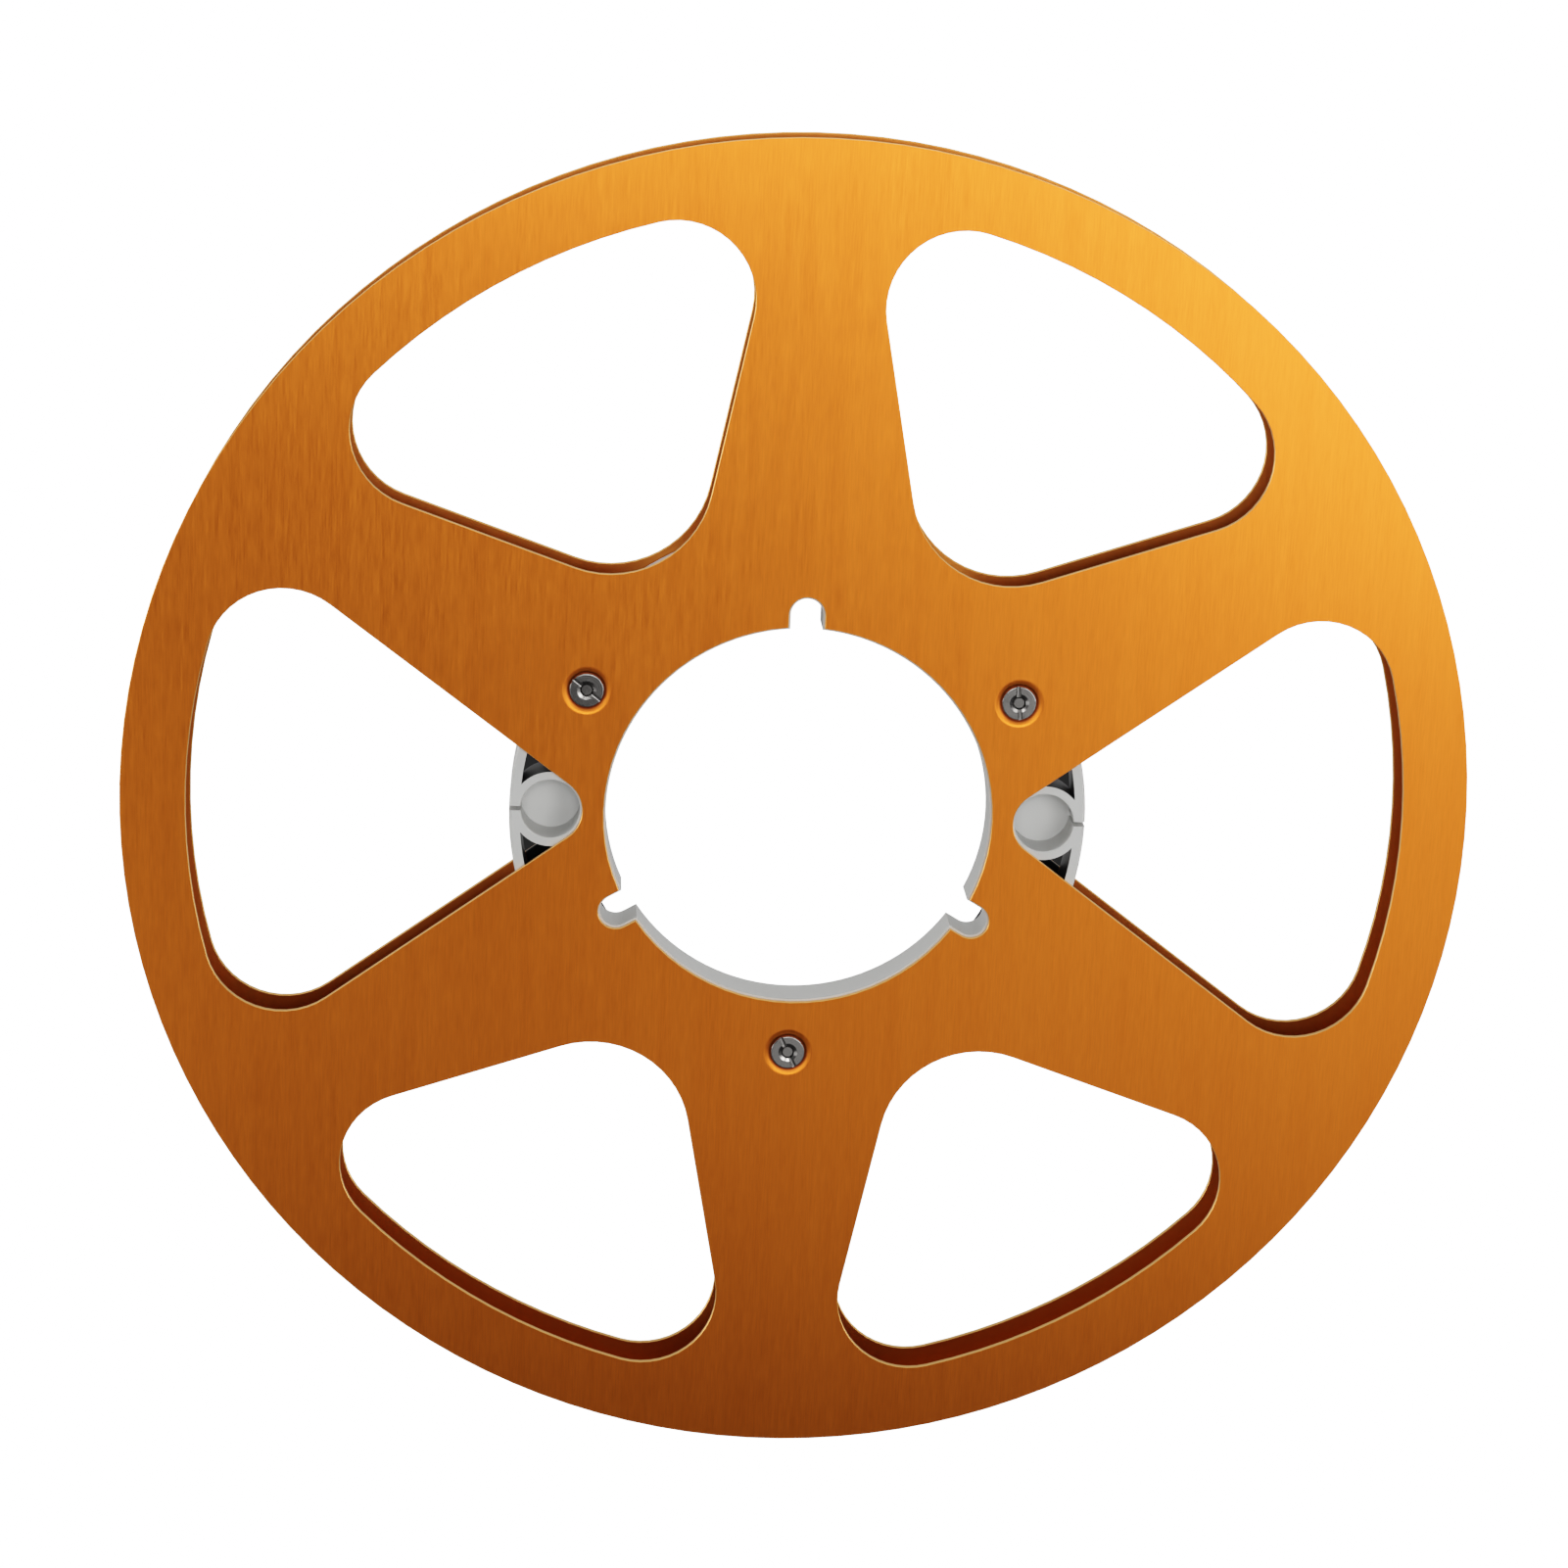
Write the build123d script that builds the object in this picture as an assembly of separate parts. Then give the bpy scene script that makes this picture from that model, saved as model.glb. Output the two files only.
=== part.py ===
from build123d import *
import math
import os

# A 10.5 inch open reel for quarter-inch tape, with a large-bore (3 inch) hub.
# Two thin aluminium flanges are clamped to a moulded hub by three slotted
# binding barrels from the front and three slotted screws from the back.
# Frame: millimetres, +Z along the spindle, towards the front flange.
# The origin is at the centre of the back flange's outer face.

# ---------------------------------------------------------------- whole reel
REEL_RADIUS = 133.35
FLANGE_THICKNESS = 1.0
HUB_HEIGHT = 9.0
TOTAL_HEIGHT = HUB_HEIGHT + 2 * FLANGE_THICKNESS
HUB_BOTTOM = FLANGE_THICKNESS

# ------------------------------------------------------------- flange outline
EDGE_BREAK = 0.12
WINDOW_OUTER_RADIUS = 120.5
WINDOW_CORNER_RADIUS = 15.1
FLANGE_BORE_RADIUS = 38.5
FLANGE_KEY_WIDTH = 7.1
FLANGE_KEY_TIP = 44.5

# Two windows reach in over the tape anchors and four stop short of the hub.
ANCHOR_WINDOW = {"side_angle": 36.3, "apex": 38.1, "inner_radius": 6.7}
PLAIN_WINDOW = {"side_angle": 41.1, "apex": 48.0, "inner_radius": 19.9}
ANCHOR_ANGLES = (0, 180)
PLAIN_WINDOW_ANGLES = (60, 120, 240, 300)

# ------------------------------------------------------------------------ hub
HUB_RADIUS = 57.15
HUB_WALL = 2.1
HUB_EDGE_RADIUS = 0.6
HUB_BORE_RADIUS = 38.1
HUB_INNER_RING_RADIUS = 42.0
HUB_KEY_WIDTH = 6.35
HUB_KEY_TIP = 44.1
HUB_KEY_WALL = 2.2
KEY_ANGLES = (90, 210, 330)
RIB_THICKNESS = 1.6
RIB_ANGLES = (60, 90, 120, 210, 240, 300, 330)

# --------------------------------------------------------------- tape anchors
ANCHOR_CENTRE = 49.0
ANCHOR_CAVITY_RADIUS = 5.9
ANCHOR_OUTER_RADIUS = 7.6
ANCHOR_FLOOR = 0.8
ANCHOR_EDGE_BREAK = 0.2
TAPE_SLIT_WIDTH = 0.9

# ------------------------------------------------------------------ fasteners
FASTENER_CIRCLE_RADIUS = 49.1
FASTENER_ANGLES = (30, 150, 270)
BARREL_SLOT_ANGLES = (97.0, 142.5, 116.5)
SCREW_SLOT_ANGLES = (15.0, 70.0, 125.0)
BOSS_RADIUS = 6.6
BOSS_RIB = 4.0
HEAD_RADIUS = 3.4
HEAD_THICKNESS = 0.42
HEAD_EDGE_RADIUS = 0.25
HEAD_SLOT_CUTTER_RADIUS = 0.5
HEAD_SLOT_DEPTH = 0.34
BARREL_RADIUS = 2.1
BARREL_BORE_RADIUS = 1.3
BARREL_MOUTH_RADIUS = 1.9
BARREL_MOUTH_DEPTH = 0.22
SCREW_RADIUS = 1.25
SCREW_END_BREAK = 0.25
SCREW_END_BELOW_FACE = 0.5
SHANK_CLEARANCE = 0.1

# A pressed dimple sinks each head into its flange.
DIMPLE_DEPTH = 0.45
DIMPLE_SLOPE = 25.0
DIMPLE_FLOOR_RADIUS = 3.6
DIMPLE_RIM_RADIUS = 4.9
DIMPLE_INSIDE_GROWTH = 0.3
DIMPLE_PATCH_RADIUS = 5.7
DIMPLE_RECESS_CLEARANCE = 0.1


def polar(radius, angle):
    """The point at a radius and an angle in degrees, in the XY plane."""
    turn = math.radians(angle)
    return (radius * math.cos(turn), radius * math.sin(turn))


def middle_of_arc(centre, radius, start, end):
    """The point half way along the short arc from start to end."""
    towards = (Vector(*start) - Vector(*centre)) + (Vector(*end) - Vector(*centre))
    point = Vector(*centre) + towards.normalized() * radius
    return (point.X, point.Y)


def mirrored(point):
    return (point[0], -point[1])


def window(side_angle, apex, inner_radius):
    """A rounded three-sided window on the +X axis.

    Two straight sides spread by side_angle from the axis and would meet at
    apex. A round end joins them towards the hub, and two round corners join
    them to an outer arc that is concentric with the reel.
    """
    slope = math.radians(side_angle)
    across = (-math.sin(slope), math.cos(slope))
    along = (math.cos(slope), math.sin(slope))

    inner_centre = (apex + inner_radius / math.sin(slope), 0)
    inner_tangent = (
        inner_centre[0] + inner_radius * across[0],
        inner_radius * across[1],
    )

    # The corner's centre lies one corner radius inside both the side and the arc.
    corner_reach = WINDOW_OUTER_RADIUS - WINDOW_CORNER_RADIUS
    offset = WINDOW_CORNER_RADIUS + apex * math.sin(slope)
    run = math.sqrt(corner_reach**2 - offset**2)
    corner_centre = (
        run * along[0] - offset * across[0],
        run * along[1] - offset * across[1],
    )
    side_tangent = (
        corner_centre[0] + WINDOW_CORNER_RADIUS * across[0],
        corner_centre[1] + WINDOW_CORNER_RADIUS * across[1],
    )
    stretch = WINDOW_OUTER_RADIUS / corner_reach
    rim_tangent = (corner_centre[0] * stretch, corner_centre[1] * stretch)
    corner_middle = middle_of_arc(
        corner_centre, WINDOW_CORNER_RADIUS, side_tangent, rim_tangent
    )

    outline = Wire(
        [
            Edge.make_three_point_arc(
                mirrored(inner_tangent),
                (inner_centre[0] - inner_radius, 0),
                inner_tangent,
            ),
            Edge.make_line(inner_tangent, side_tangent),
            Edge.make_three_point_arc(side_tangent, corner_middle, rim_tangent),
            Edge.make_three_point_arc(
                rim_tangent, (WINDOW_OUTER_RADIUS, 0), mirrored(rim_tangent)
            ),
            Edge.make_three_point_arc(
                mirrored(rim_tangent), mirrored(corner_middle), mirrored(side_tangent)
            ),
            Edge.make_line(mirrored(side_tangent), mirrored(inner_tangent)),
        ]
    )
    return Face(outline)


def keyway(width, tip_radius):
    """A round-ended slot on the +X axis, from the middle of the bore to its tip."""
    length = tip_radius - width / 2
    slot = Pos(length / 2, 0) * Rectangle(length, width)
    return slot + Pos(length, 0) * Circle(width / 2)


def bore_plan(bore_radius, key_width, key_tip):
    """The spindle bore with its three keyways."""
    plan = Sketch() + Circle(bore_radius)
    for angle in KEY_ANGLES:
        plan += Rot(0, 0, angle) * keyway(key_width, key_tip)
    return plan


def flange_plan():
    plan = Circle(REEL_RADIUS) - bore_plan(
        FLANGE_BORE_RADIUS, FLANGE_KEY_WIDTH, FLANGE_KEY_TIP
    )
    for angle in ANCHOR_ANGLES:
        plan -= Rot(0, 0, angle) * window(**ANCHOR_WINDOW)
    for angle in PLAIN_WINDOW_ANGLES:
        plan -= Rot(0, 0, angle) * window(**PLAIN_WINDOW)
    return plan


def dimple_patch(hole_radius):
    """The round of sheet at a fastener, pressed down into a shallow dish.

    The outer face is at Z = 0 away from the dish, and the sheet hangs below it.
    """

    def flat(start, end):
        return Edge.make_line((start[0], 0, start[1]), (end[0], 0, end[1]))

    def shoulder(rim_radius, floor_radius, top):
        """The dish's slope: it leaves the face in a bend, then falls straight."""
        across = math.sin(math.radians(DIMPLE_SLOPE))
        level = math.cos(math.radians(DIMPLE_SLOPE))
        run = rim_radius - floor_radius
        bend_drop = run * across - DIMPLE_DEPTH * level
        bend_radius = bend_drop / (1 - level)
        bend_end = (rim_radius - bend_radius * across, top - bend_drop)
        bend = Edge.make_tangent_arc(
            Vector(rim_radius, 0, top),
            Vector(-1, 0, 0),
            Vector(bend_end[0], 0, bend_end[1]),
        )
        return [bend, flat(bend_end, (floor_radius, top - DIMPLE_DEPTH))]

    under_rim = DIMPLE_RIM_RADIUS + DIMPLE_INSIDE_GROWTH
    under_floor = DIMPLE_FLOOR_RADIUS + DIMPLE_INSIDE_GROWTH
    seat = -DIMPLE_DEPTH
    under = -FLANGE_THICKNESS
    edges = [
        *shoulder(DIMPLE_RIM_RADIUS, DIMPLE_FLOOR_RADIUS, 0),
        *shoulder(under_rim, under_floor, under),
        flat((DIMPLE_PATCH_RADIUS, 0), (DIMPLE_RIM_RADIUS, 0)),
        flat((DIMPLE_FLOOR_RADIUS, seat), (hole_radius, seat)),
        flat((hole_radius, seat), (hole_radius, seat + under)),
        flat((hole_radius, seat + under), (under_floor, seat + under)),
        flat((under_rim, under), (DIMPLE_PATCH_RADIUS, under)),
        flat((DIMPLE_PATCH_RADIUS, under), (DIMPLE_PATCH_RADIUS, 0)),
    ]
    section = Face(Wire.combine(edges)[0])
    return revolve(section, Axis.Z)


def flange(shank_radius):
    """A flange whose outer face is at Z = 0, with its dimples facing up."""
    plate = Pos(0, 0, -FLANGE_THICKNESS) * extrude(flange_plan(), FLANGE_THICKNESS)
    faces = plate.faces().sort_by(Axis.Z)
    rims = faces[0].edges() + faces[-1].edges()
    plate = chamfer(rims, EDGE_BREAK)
    for angle in FASTENER_ANGLES:
        place = Pos(*polar(FASTENER_CIRCLE_RADIUS, angle))
        plate -= place * Cylinder(DIMPLE_PATCH_RADIUS, 4 * FLANGE_THICKNESS)
        plate += place * dimple_patch(shank_radius + SHANK_CLEARANCE)
    return plate


def hub():
    """The moulded ring between the flanges, with its anchors, bosses and ribs."""
    base = Pos(0, 0, HUB_BOTTOM)
    outer_wall = extrude(Circle(HUB_RADIUS), HUB_HEIGHT)
    outer_wall = fillet(outer_wall.edges(), HUB_EDGE_RADIUS)
    outer_wall -= extrude(Circle(HUB_RADIUS - HUB_WALL), HUB_HEIGHT)

    plan = Sketch() + Circle(HUB_INNER_RING_RADIUS)
    for angle in KEY_ANGLES:
        wall = keyway(HUB_KEY_WIDTH + 2 * HUB_KEY_WALL, HUB_KEY_TIP + HUB_KEY_WALL)
        plan += Rot(0, 0, angle) * wall
    inner_wall_radius = HUB_RADIUS - HUB_WALL
    rib_start = (HUB_BORE_RADIUS + HUB_INNER_RING_RADIUS) / 2
    rib_length = inner_wall_radius - rib_start + HUB_WALL / 2
    rib_middle = rib_start + rib_length / 2
    for angle in RIB_ANGLES:
        plan += Rot(0, 0, angle) * Pos(rib_middle, 0) * Rectangle(
            rib_length, RIB_THICKNESS
        )
    for angle in FASTENER_ANGLES:
        plan += Pos(*polar(FASTENER_CIRCLE_RADIUS, angle)) * Circle(BOSS_RADIUS)
        plan += Rot(0, 0, angle) * Pos(rib_middle, 0) * Rectangle(rib_length, BOSS_RIB)
    for angle in ANCHOR_ANGLES:
        plan += Pos(*polar(ANCHOR_CENTRE, angle)) * Circle(ANCHOR_OUTER_RADIUS)
    plan -= bore_plan(HUB_BORE_RADIUS, HUB_KEY_WIDTH, HUB_KEY_TIP)
    body = outer_wall + extrude(plan, HUB_HEIGHT)

    # Tape anchor: a round well, open to the front, with a slit to the outside.
    depth = HUB_HEIGHT - ANCHOR_FLOOR
    for angle in ANCHOR_ANGLES:
        turn = Rot(0, 0, angle) * Pos(ANCHOR_CENTRE, 0, ANCHOR_FLOOR)
        well = extrude(Circle(ANCHOR_CAVITY_RADIUS), depth)
        mouth = Pos(0, 0, depth - ANCHOR_EDGE_BREAK) * extrude(
            Circle(ANCHOR_CAVITY_RADIUS), ANCHOR_EDGE_BREAK, taper=-45
        )
        slit_length = HUB_RADIUS - ANCHOR_CENTRE + HUB_WALL
        slit = Pos(slit_length / 2, 0) * Rectangle(slit_length, TAPE_SLIT_WIDTH)
        body -= turn * (well + mouth + extrude(slit, depth))

    # Each boss is bored for its barrel and recessed for the flange's dimple.
    recess_radius = DIMPLE_RIM_RADIUS + DIMPLE_INSIDE_GROWTH + DIMPLE_RECESS_CLEARANCE
    recess_depth = DIMPLE_DEPTH + DIMPLE_RECESS_CLEARANCE
    hole = Cylinder(BARREL_RADIUS + SHANK_CLEARANCE, 3 * HUB_HEIGHT)
    recess = Cylinder(recess_radius, 2 * recess_depth)
    for angle in FASTENER_ANGLES:
        place = Pos(*polar(FASTENER_CIRCLE_RADIUS, angle))
        body -= place * hole
        body -= place * recess
        body -= place * Pos(0, 0, HUB_HEIGHT) * recess
    return base * body


def slotted_head():
    """A thin round head on Z = 0, with a rounded upper edge and a hollow slot."""
    head = extrude(Circle(HEAD_RADIUS), HEAD_THICKNESS)
    top_rim = head.edges().sort_by(Axis.Z)[-1]
    head = fillet(top_rim, HEAD_EDGE_RADIUS)
    cutter_height = HEAD_THICKNESS - HEAD_SLOT_DEPTH + HEAD_SLOT_CUTTER_RADIUS
    cutter = Rot(0, 90, 0) * Cylinder(HEAD_SLOT_CUTTER_RADIUS, 3 * HEAD_RADIUS)
    return head - Pos(0, 0, cutter_height) * cutter


def binding_barrel():
    """A slotted head with a hollow shank below it, and a bevelled mouth."""
    length = HUB_HEIGHT - 2 * DIMPLE_DEPTH + FLANGE_THICKNESS - SHANK_CLEARANCE
    shank = Pos(0, 0, -length) * extrude(Circle(BARREL_RADIUS), length)
    mouth = Pos(0, 0, HEAD_THICKNESS - BARREL_MOUTH_DEPTH / 2) * Cone(
        BARREL_BORE_RADIUS, BARREL_MOUTH_RADIUS, BARREL_MOUTH_DEPTH
    )
    return slotted_head() + shank - Cylinder(BARREL_BORE_RADIUS, 3 * length) - mouth


def clamp_screw():
    """A slotted head with a solid shank that fills the barrel's bore."""
    seat_to_face = TOTAL_HEIGHT - DIMPLE_DEPTH
    length = seat_to_face - SCREW_END_BELOW_FACE
    shank = Pos(0, 0, -length) * extrude(Circle(SCREW_RADIUS), length)
    shank = chamfer(shank.edges().sort_by(Axis.Z)[0], SCREW_END_BREAK)
    return slotted_head() + shank


def write(name, solid):
    solid.label = name
    export_step(solid, f"parts/{name}.step")


os.makedirs("parts", exist_ok=True)

FRONT_FACE = Pos(0, 0, TOTAL_HEIGHT)
BACK_FACE = Rot(0, 180, 0)
FRONT_SEAT = TOTAL_HEIGHT - DIMPLE_DEPTH

write("front_flange", FRONT_FACE * flange(BARREL_RADIUS))
write("hub", hub())
write("back_flange", BACK_FACE * flange(SCREW_RADIUS))

for number, angle in enumerate(FASTENER_ANGLES, start=1):
    x, y = polar(FASTENER_CIRCLE_RADIUS, angle)
    barrel_slot = BARREL_SLOT_ANGLES[number - 1]
    barrel = Pos(x, y, FRONT_SEAT) * Rot(0, 0, barrel_slot) * binding_barrel()
    write(f"binding_barrel_{number}", barrel)

    screw_slot = SCREW_SLOT_ANGLES[number - 1]
    screw = Pos(x, y, DIMPLE_DEPTH) * Rot(0, 0, screw_slot) * BACK_FACE * clamp_screw()
    write(f"clamp_screw_{number}", screw)
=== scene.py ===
import math

import bmesh
import bpy
from mathutils import Matrix, Vector


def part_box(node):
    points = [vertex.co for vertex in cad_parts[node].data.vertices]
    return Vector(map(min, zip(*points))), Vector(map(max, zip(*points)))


# Lengths are in metres. The reel lies flat: +Z is its axis, from the back
# flange to the front one, and +Y is up in the main view.
MM = 0.001

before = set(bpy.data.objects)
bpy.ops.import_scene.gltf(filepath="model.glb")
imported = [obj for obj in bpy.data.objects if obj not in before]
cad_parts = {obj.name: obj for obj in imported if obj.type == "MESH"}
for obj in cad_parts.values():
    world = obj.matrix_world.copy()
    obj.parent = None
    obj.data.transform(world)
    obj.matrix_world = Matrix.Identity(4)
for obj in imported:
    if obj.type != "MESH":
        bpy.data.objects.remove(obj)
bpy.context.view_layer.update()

# ------------------------------------------------------------------ node help


def rgba(red, green, blue):
    return (red, green, blue, 1.0)


WHITE = rgba(1.0, 1.0, 1.0)


class Nodes:
    """A short way to write a node tree: add a node, set its inputs, link them."""

    def __init__(self, tree):
        self.tree = tree
        tree.nodes.clear()

    def add(self, kind, inputs=None, **settings):
        node = self.tree.nodes.new(kind)
        for key, value in settings.items():
            setattr(node, key, value)
        for key, value in (inputs or {}).items():
            self.set(node, key, value)
        return node

    def set(self, node, key, value):
        socket = node.inputs[key]
        if isinstance(value, bpy.types.NodeSocket):
            self.tree.links.new(value, socket)
        else:
            socket.default_value = value

    def math(self, operation, a, b=0.0, c=0.0):
        node = self.add("ShaderNodeMath", operation=operation)
        for slot, value in enumerate((a, b, c)):
            self.set(node, slot, value)
        return node.outputs[0]

    def split(self, vector):
        """A vector's X, Y and Z."""
        return self.add("ShaderNodeSeparateXYZ", {"Vector": vector}).outputs

    def length(self, x, y):
        """How long the flat vector (x, y) is."""
        square = self.math("MULTIPLY_ADD", x, x, self.math("MULTIPLY", y, y))
        return self.math("SQRT", square)

    def weighted(self, *parts):
        """The sum of each value times its weight."""
        total = 0.0
        for value, weight in parts:
            total = self.math("MULTIPLY_ADD", value, weight, total)
        return total

    def ramp(self, value, low, high, out_low=0.0, out_high=1.0, smooth=True):
        """out_low at low, out_high at high, and level beyond both."""
        node = self.add(
            "ShaderNodeMapRange",
            {
                "Value": value,
                "From Min": low,
                "From Max": high,
                "To Min": out_low,
                "To Max": out_high,
            },
            interpolation_type="SMOOTHSTEP" if smooth else "LINEAR",
        )
        return node.outputs[0]

    def between(self, value, low, high, soft=0.1 * MM):
        """1 where the value is between low and high, else 0."""
        rise = self.ramp(value, low - soft, low + soft)
        fall = self.ramp(value, high + soft, high - soft)
        return self.math("MULTIPLY", rise, fall)

    def all_of(self, first, *others):
        """1 where every mask is 1."""
        for mask in others:
            first = self.math("MULTIPLY", first, mask)
        return first

    def mix(self, factor, a, b):
        node = self.add("ShaderNodeMix", data_type="RGBA")
        self.set(node, 0, factor)
        self.set(node, 6, a)
        self.set(node, 7, b)
        return node.outputs[2]

    def noise(self, place, per_metre, detail, roughness, shift=(0.0, 0.0, 0.0)):
        """Noise with its own number of waves to the metre along X, Y and Z."""
        stretched = self.add(
            "ShaderNodeMapping",
            {"Vector": place, "Scale": per_metre, "Location": shift},
        )
        node = self.add(
            "ShaderNodeTexNoise",
            {
                "Vector": stretched.outputs[0],
                "Scale": 1.0,
                "Detail": detail,
                "Roughness": roughness,
            },
        )
        return node.outputs[0]

    def surface(self, colour, roughness, relief, strength, depth, **others):
        """The finished surface: its colour, its gloss and a bump from a relief."""
        bump = self.add(
            "ShaderNodeBump",
            {"Height": relief, "Strength": strength, "Distance": depth},
        )
        inputs = {
            "Base Color": colour,
            "Roughness": roughness,
            "Normal": bump.outputs[0],
        }
        shader = self.add("ShaderNodeBsdfPrincipled", {**inputs, **others})
        self.add("ShaderNodeOutputMaterial", {"Surface": shader.outputs[0]})


def new_material(name):
    material = bpy.data.materials.new(name)
    material.use_nodes = True
    return material, Nodes(material.node_tree)


# -------------------------------------------------------------------- flanges

# A pair of lengths or slopes says where a mask fades from 0 to 1.
hub_low, hub_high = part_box("hub")
HUB_EDGE = hub_high.x
FLANGE_BORE = 38.5 * MM

FLANGE_DYE = (rgba(0.79, 0.181, 0.0205), rgba(0.95, 0.233, 0.0280))
# Painted shade: the colour of the face towards the hub.
INNER_FACE_PAINTED_SHADE = rgba(0.64, 0.207, 0.039)
# Painted highlight: the colour of the cut edges.
CUT_EDGE_PAINTED_HIGHLIGHT = rgba(0.95, 0.55, 0.18)

INNER_FACE_SLOPE = (0.6, 0.9)
CUT_EDGE_SLOPE = (0.95, 0.6)
PRESSED_SLOPE = (0.998, 0.97)

# The strip of the back flange inside the hub, seen only through its pockets, is
# painted near black: painted shade.
BURIED_SHADE = rgba(0.034, 0.036, 0.038)
BURIED_PAST_BORE = (FLANGE_BORE + 0.5 * MM, FLANGE_BORE + 1.5 * MM)
BURIED_IN_WALL = (HUB_EDGE - 1.9 * MM, HUB_EDGE - 2.3 * MM)
BURIED_HEIGHTS = (hub_low.z - 0.8 * MM, hub_low.z + 0.3 * MM)

# The flange round each fastener's head is painted dark in the gap: painted shade.
head_boxes = [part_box(f"binding_barrel_{number}") for number in (1, 2, 3)]
head_centres = [(low + high) / 2 for low, high in head_boxes]
HEAD_RADIUS = (head_boxes[0][1].x - head_boxes[0][0].x) / 2
HEAD_GAP_SHADE = rgba(0.16, 0.030, 0.008)
HEAD_GAP = (HEAD_RADIUS + 0.75 * MM, HEAD_RADIUS + 0.2 * MM)
FAR_FROM_HEADS = 1.0

# Waves to the metre, detail and roughness of the four sizes of brush mark.
FINE_MARKS = ((3600, 190, 900), 3.0, 0.6)
WIDE_MARKS = ((1100, 42, 300), 2.0, 0.5)
BANDS = ((260, 7, 80), 2.0, 0.5)
CLOUDS = ((26, 17, 20), 2.0, 0.5)


def anodised_flange(name, shift, inwards_sign):
    """Brushed aluminium, dyed orange-gold. The brush marks run along Y.

    The face towards the hub, up or down by inwards_sign, is painted duller and
    browner as painted shade.
    The marks are cut from another part of the noise by the shift.
    """
    material, n = new_material(name)
    coords = n.add("ShaderNodeTexCoord")
    place = coords.outputs["Object"]
    x, y, z = n.split(place)
    upright = n.split(coords.outputs["Normal"])[2]
    face_up = n.math("ABSOLUTE", upright)
    inner_face = n.ramp(n.math("MULTIPLY", upright, inwards_sign), *INNER_FACE_SLOPE)
    cut_edge = n.ramp(face_up, *CUT_EDGE_SLOPE)
    pressed = n.ramp(face_up, *PRESSED_SLOPE)

    fine, wide, band, cloud = (
        n.noise(place, *size, shift)
        for size in (FINE_MARKS, WIDE_MARKS, BANDS, CLOUDS)
    )
    marks = n.weighted((fine, 0.72), (wide, 0.28))
    tone = n.weighted((marks, 0.72), (band, 0.15), (cloud, 0.13))
    tone = n.ramp(tone, 0.36, 0.64, smooth=False)

    from_axis = n.length(x, y)
    buried = n.all_of(
        n.ramp(from_axis, *BURIED_IN_WALL),
        n.ramp(from_axis, *BURIED_PAST_BORE),
        n.between(z, *BURIED_HEIGHTS),
    )
    to_head = FAR_FROM_HEADS
    for centre in head_centres:
        across = n.math("SUBTRACT", x, centre.x)
        along = n.math("SUBTRACT", y, centre.y)
        to_head = n.math("MINIMUM", n.length(across, along), to_head)

    colour = n.mix(tone, *FLANGE_DYE)
    # Painted shade: the face towards the hub goes darker and browner.
    colour = n.mix(inner_face, colour, INNER_FACE_PAINTED_SHADE)
    # Painted highlight: the cut edges go pale gold.
    colour = n.mix(cut_edge, colour, CUT_EDGE_PAINTED_HIGHLIGHT)
    # Painted shade: the back flange's strip inside the hub goes near black.
    colour = n.mix(buried, colour, BURIED_SHADE)
    # Painted shade: the gap round each head goes dark.
    colour = n.mix(n.ramp(to_head, *HEAD_GAP), colour, HEAD_GAP_SHADE)

    brushed = n.ramp(marks, 0.3, 0.7, 0.31, 0.37, smooth=False)
    n.surface(
        colour,
        n.weighted((brushed, 1.0), (cut_edge, -0.06), (pressed, 0.16)),
        relief=n.weighted((fine, 0.88), (wide, 0.12)),
        strength=0.12,
        depth=0.02 * MM,
        Metallic=1.0,
        Anisotropic=0.6,
        Tangent=n.add("ShaderNodeCombineXYZ", {"X": 1.0}).outputs[0],
    )
    return material


# ------------------------------------------------------------------------ hub

PLASTIC = (rgba(0.510, 0.512, 0.500), rgba(0.560, 0.562, 0.549))
PLASTIC_IOR = 1.55
GRAIN = ((5200, 5200, 5200), 2.0, 0.55)
FLOW = ((90, 90, 140), 3.0, 0.5)

# The pockets beside the tape anchors: between the hub's inner and outer walls,
# outside the anchors' own walls, and no further from the X axis than they reach.
# Their walls are painted near black there, as painted shade.
POCKET_SHADE = rgba(0.026, 0.025, 0.026)
POCKET_REACH = (41.7 * MM, HUB_EDGE - 1.5 * MM)
ANCHOR_CENTRE = 49.0 * MM
PAST_ANCHOR = (6.5 * MM, 6.9 * MM)
BESIDE_ANCHOR = (17.5 * MM, 16.5 * MM)
WALL_SLOPE = (0.9, 0.6)


def moulded_plastic(name):
    """Light grey moulded styrene with a fine matt grain."""
    material, n = new_material(name)
    coords = n.add("ShaderNodeTexCoord")
    place = coords.outputs["Object"]
    x, y, _ = n.split(place)
    upright = n.split(coords.outputs["Normal"])[2]

    across = n.math("SUBTRACT", n.math("ABSOLUTE", x), ANCHOR_CENTRE)
    # Painted shade: the pocket walls are coloured near black.
    in_pocket = n.all_of(
        n.between(n.length(x, y), *POCKET_REACH),
        n.ramp(n.length(across, y), *PAST_ANCHOR),
        n.ramp(n.math("ABSOLUTE", upright), *WALL_SLOPE),
        n.ramp(n.math("ABSOLUTE", y), *BESIDE_ANCHOR),
    )
    flow = n.noise(place, *FLOW)
    n.surface(
        n.mix(in_pocket, n.mix(flow, *PLASTIC), POCKET_SHADE),
        n.ramp(flow, 0.3, 0.7, 0.42, 0.52, smooth=False),
        relief=n.noise(place, *GRAIN),
        strength=0.25,
        depth=0.02 * MM,
        IOR=PLASTIC_IOR,
    )
    return material


# ------------------------------------------------------------------ fasteners

NICKEL = (rgba(0.19, 0.183, 0.177), rgba(0.31, 0.299, 0.289))
RINGS_PER_METRE = 9000.0
HANDLED = ((420, 420, 420), 2.0, 0.5)
HANDLED_SHIFT = 900  # so that no two fasteners are marked alike


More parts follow.
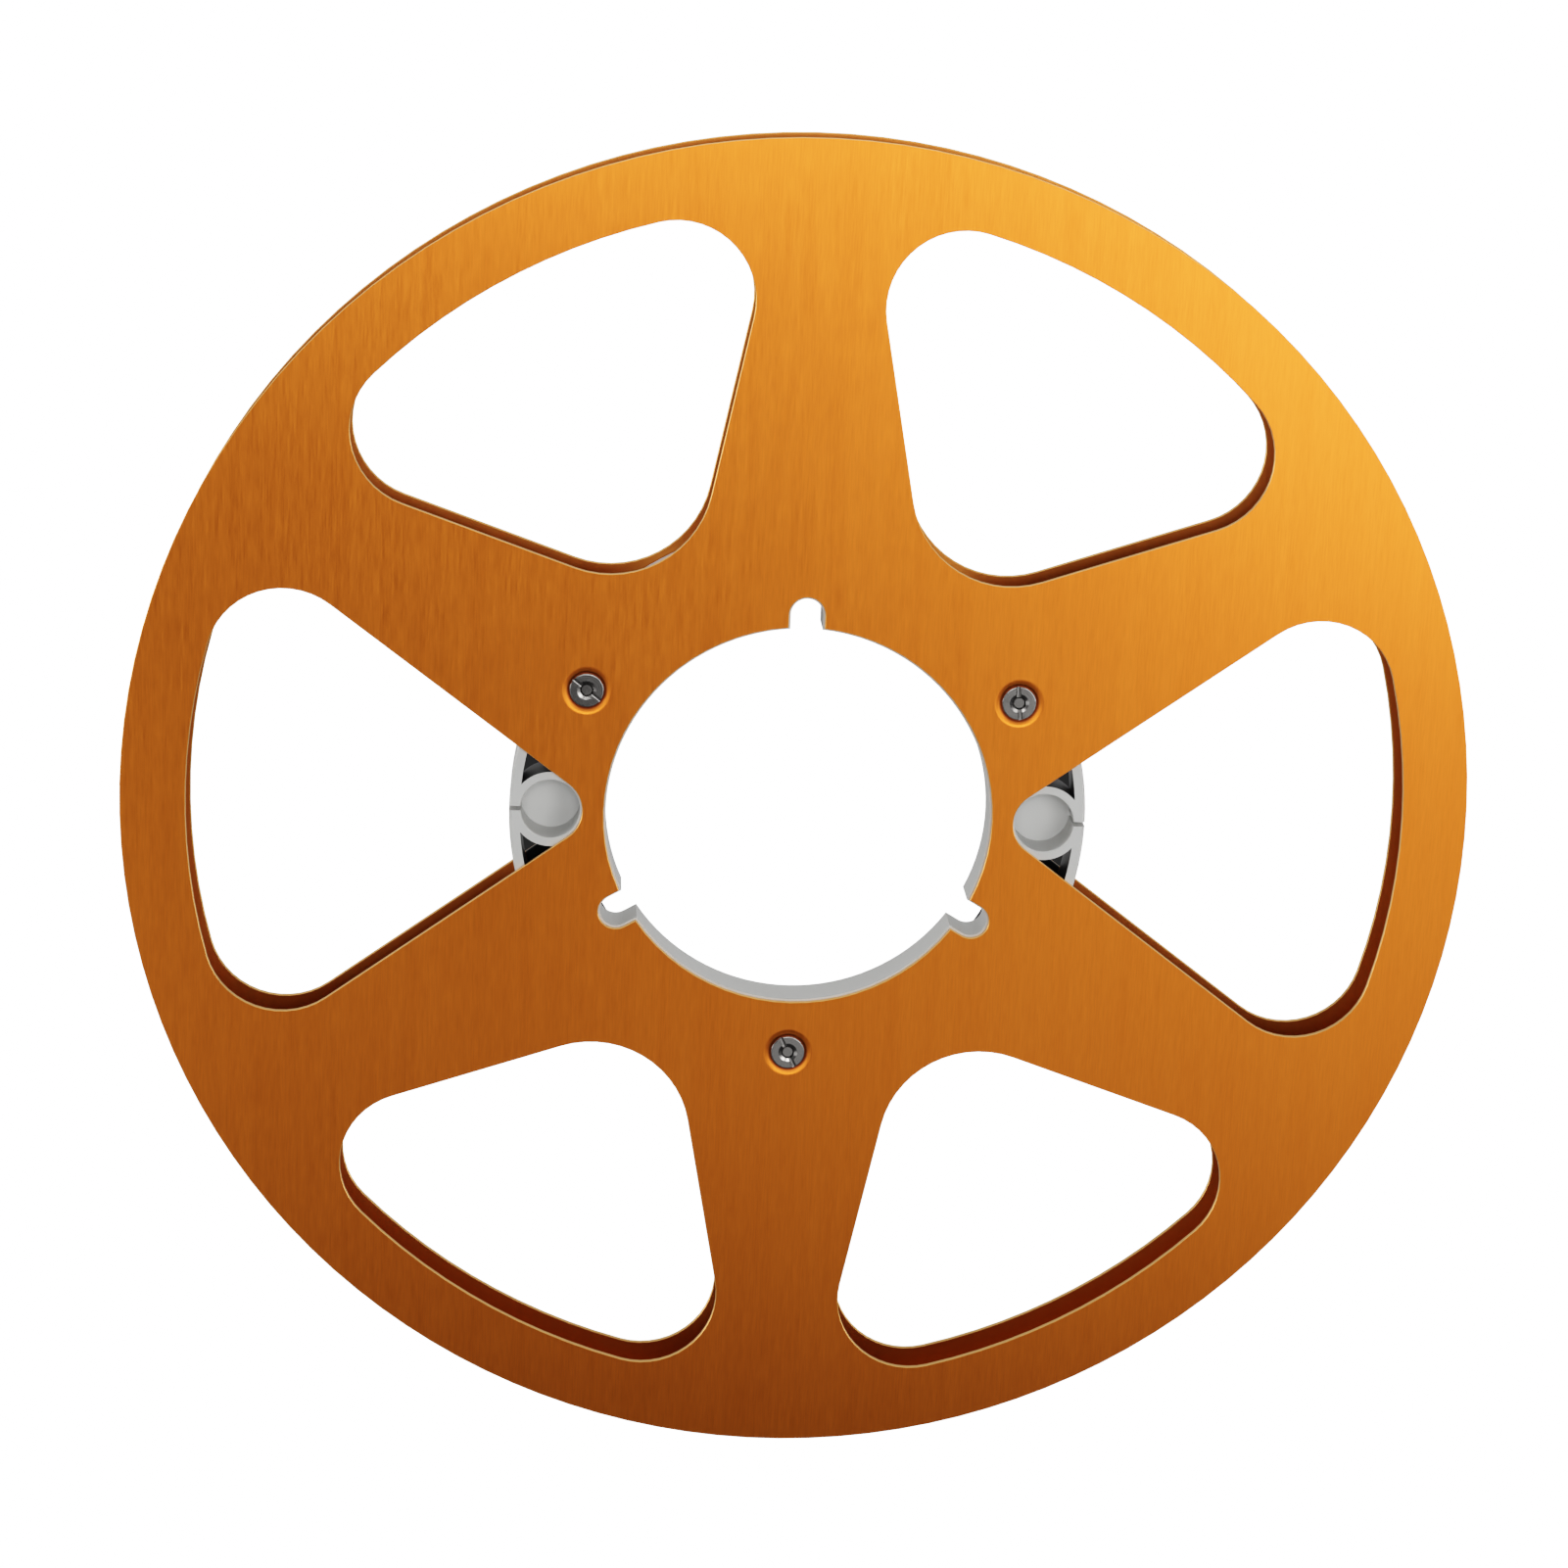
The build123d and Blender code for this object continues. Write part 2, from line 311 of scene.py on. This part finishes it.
def turned_nickel(name, centre):
    """Nickel-plated turned metal, with fine rings about the fastener's axis."""
    material, n = new_material(name)
    place = n.add("ShaderNodeTexCoord").outputs["Object"]
    offset = n.add(
        "ShaderNodeVectorMath",
        {0: place, 1: (centre.x, centre.y, 0.0)},
        operation="SUBTRACT",
    )
    x, y, _ = n.split(offset.outputs[0])
    rings = n.math("MULTIPLY", n.length(x, y), RINGS_PER_METRE)
    turning = n.add(
        "ShaderNodeTexNoise",
        {"W": rings, "Scale": 1.0, "Detail": 2.0},
        noise_dimensions="1D",
    ).outputs[0]
    shift = (centre.x * HANDLED_SHIFT, centre.y * HANDLED_SHIFT, 0)
    handled = n.noise(place, *HANDLED, shift)
    tone = n.weighted((turning, 0.5), (handled, 0.5))
    n.surface(
        n.mix(tone, *NICKEL),
        n.ramp(tone, 0.3, 0.7, 0.20, 0.27, smooth=False),
        relief=turning,
        strength=0.35,
        depth=0.01 * MM,
        Metallic=1.0,
    )
    return material


# ------------------------------------------------------------ looks on pieces


def give(node, material):
    """Puts one material on a CAD node, in place of all it has."""
    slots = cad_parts[node].data.materials
    slots.clear()
    slots.append(material)


BACK_SHIFT = (31.7, 12.3, 4.1)
give("front_flange", anodised_flange("front_flange_anodised", (0.0, 0.0, 0.0), -1.0))
give("back_flange", anodised_flange("back_flange_anodised", BACK_SHIFT, 1.0))
give("hub", moulded_plastic("hub_moulded"))
for number in (1, 2, 3):
    for kind in ("binding_barrel", "clamp_screw"):
        piece = f"{kind}_{number}"
        low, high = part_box(piece)
        give(piece, turned_nickel(f"{piece}_nickel", (low + high) / 2))

# ---------------------------------------------------------------------- stage

STAGE_SIDES = 96
FLOOR_RADIUS = 4.0
FLOOR_Z = -0.3 * MM
FLOOR_GLOW = 4.0
# SHADOW_RADII, SHADOW_Z and SHADOW_GLOW make a painted shadow under the hub.
SHADOW_RADII = (44.0 * MM, 57.0 * MM)
SHADOW_Z = -0.2 * MM
SHADOW_GLOW = 0.03


def glow_material(name, strength):
    """A surface that shows one brightness from above and nothing from below."""
    material, n = new_material(name)
    glow = n.add("ShaderNodeEmission", {"Color": WHITE, "Strength": strength})
    below = n.add("ShaderNodeNewGeometry").outputs["Backfacing"]
    through = n.add("ShaderNodeBsdfTransparent")
    side = n.add(
        "ShaderNodeMixShader",
        {0: below, 1: glow.outputs[0], 2: through.outputs[0]},
    )
    n.add("ShaderNodeOutputMaterial", {"Surface": side.outputs[0]})
    return material


def circle(shape, radius, z, cap=False):
    """A flat ring of points, or a disc, round the reel's axis."""
    made = bmesh.ops.create_circle(
        shape,
        cap_ends=cap,
        segments=STAGE_SIDES,
        radius=radius,
        matrix=Matrix.Translation((0, 0, z)),
    )
    return made["verts"]


def stage_sheet(name, shape, strength):
    """A flat glowing sheet that only the camera sees."""
    mesh = bpy.data.meshes.new(name)
    shape.to_mesh(mesh)
    shape.free()
    made = bpy.data.objects.new(name, mesh)
    bpy.context.scene.collection.objects.link(made)
    mesh.materials.append(glow_material(name, strength))
    for ray in ("diffuse", "glossy", "transmission", "volume_scatter", "shadow"):
        setattr(made, f"visible_{ray}", False)


floor = bmesh.new()
circle(floor, FLOOR_RADIUS, FLOOR_Z, cap=True)
stage_sheet("stage_floor", floor, FLOOR_GLOW)

# A dark ring that only the camera sees is painted shade: it stands for the pale
# floor in deep shade under the hub, where only its pockets show it.
shadow = bmesh.new()
inner, outer = (circle(shadow, radius, SHADOW_Z) for radius in SHADOW_RADII)
for i in range(STAGE_SIDES):
    k = (i + 1) % STAGE_SIDES
    shadow.faces.new((inner[i], outer[i], outer[k], inner[k]))
stage_sheet("stage_shadow", shadow, SHADOW_GLOW)

# --------------------------------------------------------------------- lights

LIGHT_DISTANCE = 1.2
KEY_SIZE = (0.24, 0.16)
PANEL_SIZE = (0.38, 0.26)
SIDE_SIZE = (0.40, 0.60)


def leaning(right, up):
    """A light's place, from its lean off the reel's axis in degrees."""
    lean = Vector((math.tan(math.radians(right)), math.tan(math.radians(up)), 1.0))
    return lean.normalized() * LIGHT_DISTANCE


def softbox(name, place, size, power):
    """A soft rectangular light, aimed at the reel, whose power is a radiance."""
    lamp = bpy.data.lights.new(name, "AREA")
    lamp.shape = "RECTANGLE"
    lamp.size, lamp.size_y = size
    lamp.energy = power * math.pi * size[0] * size[1]
    made = bpy.data.objects.new(name, lamp)
    made.location = place
    towards = -Vector(place)
    made.rotation_mode = "QUATERNION"
    made.rotation_quaternion = towards.to_track_quat("-Z", "Y")
    bpy.context.scene.collection.objects.link(made)


softbox("key", (0.26, 0.06, 0.55), KEY_SIZE, 6.2)
softbox("key_low", (0.26, -0.06, 0.55), KEY_SIZE, 1.5)
softbox("key_high", (0.26, 0.18, 0.55), KEY_SIZE, 5.8)
softbox("over_camera", leaning(-3, 14), (0.50, 0.36), 14.0)
softbox("panel", leaning(8, -20), PANEL_SIZE, 1.05)
softbox("panel_right", leaning(28, -20), PANEL_SIZE, 1.8)
softbox("panel_left", leaning(-32, -20), PANEL_SIZE, 2.9)
softbox("left_low", leaning(-80, 10), SIDE_SIZE, 8.0)
softbox("right_low", leaning(80, 10), SIDE_SIZE, 4.0)

# ----------------------------------------------------------------------- room

# The room is dim above. Low down it is bright at +Y and dimmer at -Y, and the
# pale table lights the part from below. The camera sees only white.
SKY_GLOW = 0.04
BRIGHT_SIDE_GLOW = 2.1
DIM_SIDE_GLOW = 0.6
TABLE_GLOW = 0.6
WALL_TOP = (0.45, 0.15)
WALL_FOOT = (-0.50, -0.15)
SIDE_TO_SIDE = (-0.5, 0.9)
TABLE_EDGE = (-0.15, -0.50)

world = bpy.data.worlds.new("studio")
bpy.context.scene.world = world
world.use_nodes = True
n = Nodes(world.node_tree)
_, towards_bright, height = n.split(n.add("ShaderNodeTexCoord").outputs["Generated"])
walls = n.all_of(n.ramp(height, *WALL_TOP), n.ramp(height, *WALL_FOOT))
side_glow = n.ramp(towards_bright, *SIDE_TO_SIDE, DIM_SIDE_GLOW, BRIGHT_SIDE_GLOW)
above_or_table = n.ramp(height, *TABLE_EDGE, SKY_GLOW, TABLE_GLOW)
room = n.math("MULTIPLY_ADD", walls, side_glow, above_or_table)
seen = n.add("ShaderNodeLightPath").outputs["Is Camera Ray"]
strength = n.math("MULTIPLY_ADD", seen, FLOOR_GLOW, room)
background = n.add("ShaderNodeBackground", {"Color": WHITE, "Strength": strength})
n.add("ShaderNodeOutputWorld", {"Surface": background.outputs[0]})

# ----------------------------------------------------------------- view curve

# Each stop of light is shown as 1 - exp(-stop), with the dark tones held down
# by DARK_TONES, so that bright tones roll off to white as they do on film.
CURVE_TOP = 4.0
DARK_TONES = {
    0.016: 0.62,
    0.03: 0.66,
    0.07: 0.75,
    0.10: 0.83,
    0.15: 0.90,
    0.20: 0.95,
    0.30: 0.98,
}
BRIGHT_TONES = (0.5, 0.75, 1.0, 1.3, 1.7, 2.2, 2.8, 3.4)

view_settings = bpy.context.scene.view_settings
view_settings.view_transform = "Standard"
view_settings.look = "None"
view_settings.exposure = 0.0
view_settings.gamma = 1.0
view_settings.use_curve_mapping = True
mapping = view_settings.curve_mapping
mapping.black_level = (0.0, 0.0, 0.0)
mapping.white_level = (CURVE_TOP, CURVE_TOP, CURVE_TOP)
combined = mapping.curves[3]
for stop in (*DARK_TONES, *BRIGHT_TONES):
    shown = 1.0 - math.exp(-stop * DARK_TONES.get(stop, 1.0))
    combined.points.new(stop / CURVE_TOP, shown)
combined.points[-1].location = (1.0, 1.0)
mapping.update()

# --------------------------------------------------------------------- camera

LENS = 89.0
SENSOR = 36.0
CAMERA_TURN = (0.26492, 0.04483, math.radians(-2.433))
CAMERA_SHIFT = Vector((2.340 * MM, -3.778 * MM, -777.24 * MM))


def look(turn, shift):
    """The camera's matrix, from the turn and shift that carry the part before it."""
    carry = (
        Matrix.Rotation(turn[0], 3, "X")
        @ Matrix.Rotation(turn[1], 3, "Y")
        @ Matrix.Rotation(turn[2], 3, "Z")
    )
    back = carry.transposed()
    return Matrix.Translation(-(back @ shift)) @ back.to_4x4()


camera_data = bpy.data.cameras.new("camera")
camera_data.sensor_width = SENSOR
camera_data.lens = LENS
camera = bpy.data.objects.new("camera", camera_data)
bpy.context.scene.collection.objects.link(camera)
camera.matrix_world = look(CAMERA_TURN, CAMERA_SHIFT)
bpy.context.scene.camera = camera
